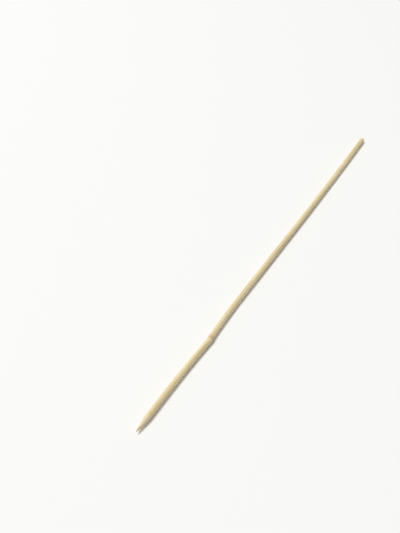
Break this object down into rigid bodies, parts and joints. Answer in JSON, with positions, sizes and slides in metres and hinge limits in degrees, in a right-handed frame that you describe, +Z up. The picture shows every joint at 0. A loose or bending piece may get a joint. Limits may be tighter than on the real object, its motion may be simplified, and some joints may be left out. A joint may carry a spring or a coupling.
{
  "type": "bamboo skewer",
  "caption": "Thin round bamboo rod, ground to a sharp point at one end and sawn square at the other, for threading and grilling pieces of food.",
  "frame": {"origin": "on the surface that the rod lies on, under the middle of its bounding box", "axes": "+X along the rod from the point to the sawn end, +Y away from the side that its slight bow and its node stand out to, +Z up"},
  "size_m": [0.3, 0.004, 0.0031],
  "materials": {
    "bamboo": "pale straw-coloured bamboo, dry and lightly polished by tumbling, with fine lengthwise fibres"
  },
  "bodies": {
    "root": {"skewer": "bamboo"}
  },
  "joints": []
}
